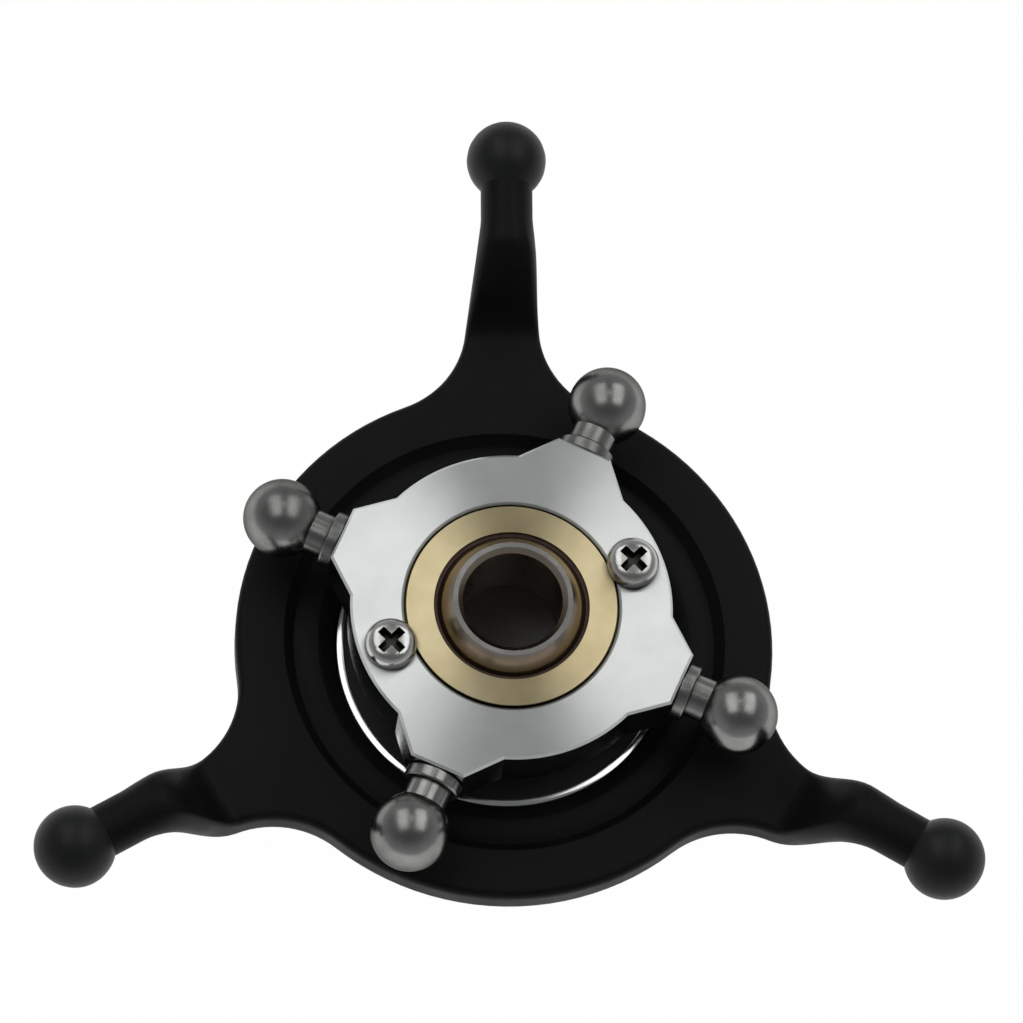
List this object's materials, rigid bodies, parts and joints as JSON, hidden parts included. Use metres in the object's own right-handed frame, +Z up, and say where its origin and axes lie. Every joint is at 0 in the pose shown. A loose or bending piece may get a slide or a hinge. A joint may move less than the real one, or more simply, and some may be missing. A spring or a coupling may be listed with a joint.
{
  "type": "helicopter swashplate",
  "caption": "Tilting swashplate for a model helicopter: a waisted metal plate on a mast ball turns in a moulded ring whose arms end in link balls.",
  "frame": {"origin": "centre of the mast ball, on the mast axis", "axes": "+Z up the mast, +Y from the mast to the first servo arm, +X to its right seen from above"},
  "size_m": [0.0566, 0.0497, 0.0142],
  "materials": {
    "polished_steel": "polished steel ball",
    "liner_fabric": "brown woven bearing liner",
    "brass": "turned brass",
    "aluminium": "turned natural aluminium",
    "zinc_steel": "bright zinc-plated steel",
    "gunmetal_steel": "turned dark steel",
    "bearing_steel": "ground bearing steel",
    "cage_nylon": "natural nylon",
    "seal_rubber": "black nitrile rubber",
    "spring_steel": "black phosphated spring steel",
    "moulded_nylon": "black glass-filled nylon, semi-matte"
  },
  "bodies": {
    "mast_ball": {"mast_ball": "polished_steel"},
    "liner": {"ball_liner": "liner_fabric"},
    "rotating_plate": {"inner_plate": "aluminium", "brass_retainer": "brass", "lower_ball_seat": "brass", "clamp_screw_1": "zinc_steel", "clamp_screw_2": "zinc_steel", "link_ball_1": "gunmetal_steel", "link_ball_2": "gunmetal_steel", "link_ball_3": "gunmetal_steel", "link_ball_4": "gunmetal_steel", "bearing_inner_race": "bearing_steel", "hub_shim": "spring_steel", "hub_circlip": "spring_steel"},
    "bearing_cage": {"bearing_cage": "cage_nylon", "bearing_balls": "bearing_steel"},
    "fixed_ring": {"outer_ring": "moulded_nylon", "bearing_outer_race": "bearing_steel", "bearing_seal_upper": "seal_rubber", "bearing_seal_lower": "seal_rubber", "housing_circlip": "spring_steel"}
  },
  "joints": [
    {"name": "tilt_roll", "type": "hinge", "parent": "mast_ball", "child": "liner", "pos_m": [0, 0, 0], "axis": [1, 0, 0], "range_deg": [-12, 12]},
    {"name": "tilt_pitch", "type": "hinge", "parent": "liner", "child": "rotating_plate", "pos_m": [0, 0, 0], "axis": [0, 1, 0], "range_deg": [-12, 12]},
    {"name": "ring_spin", "type": "hinge", "parent": "rotating_plate", "child": "fixed_ring", "pos_m": [0, 0, -0.0074], "axis": [0, 0, 1], "continuous": true},
    {"name": "cage_spin", "type": "hinge", "parent": "rotating_plate", "child": "bearing_cage", "pos_m": [0, 0, -0.0074], "axis": [0, 0, 1], "continuous": true}
  ],
  "couplings": [
    {"joint": "cage_spin", "follows": "ring_spin", "ratio": 0.5441}
  ]
}
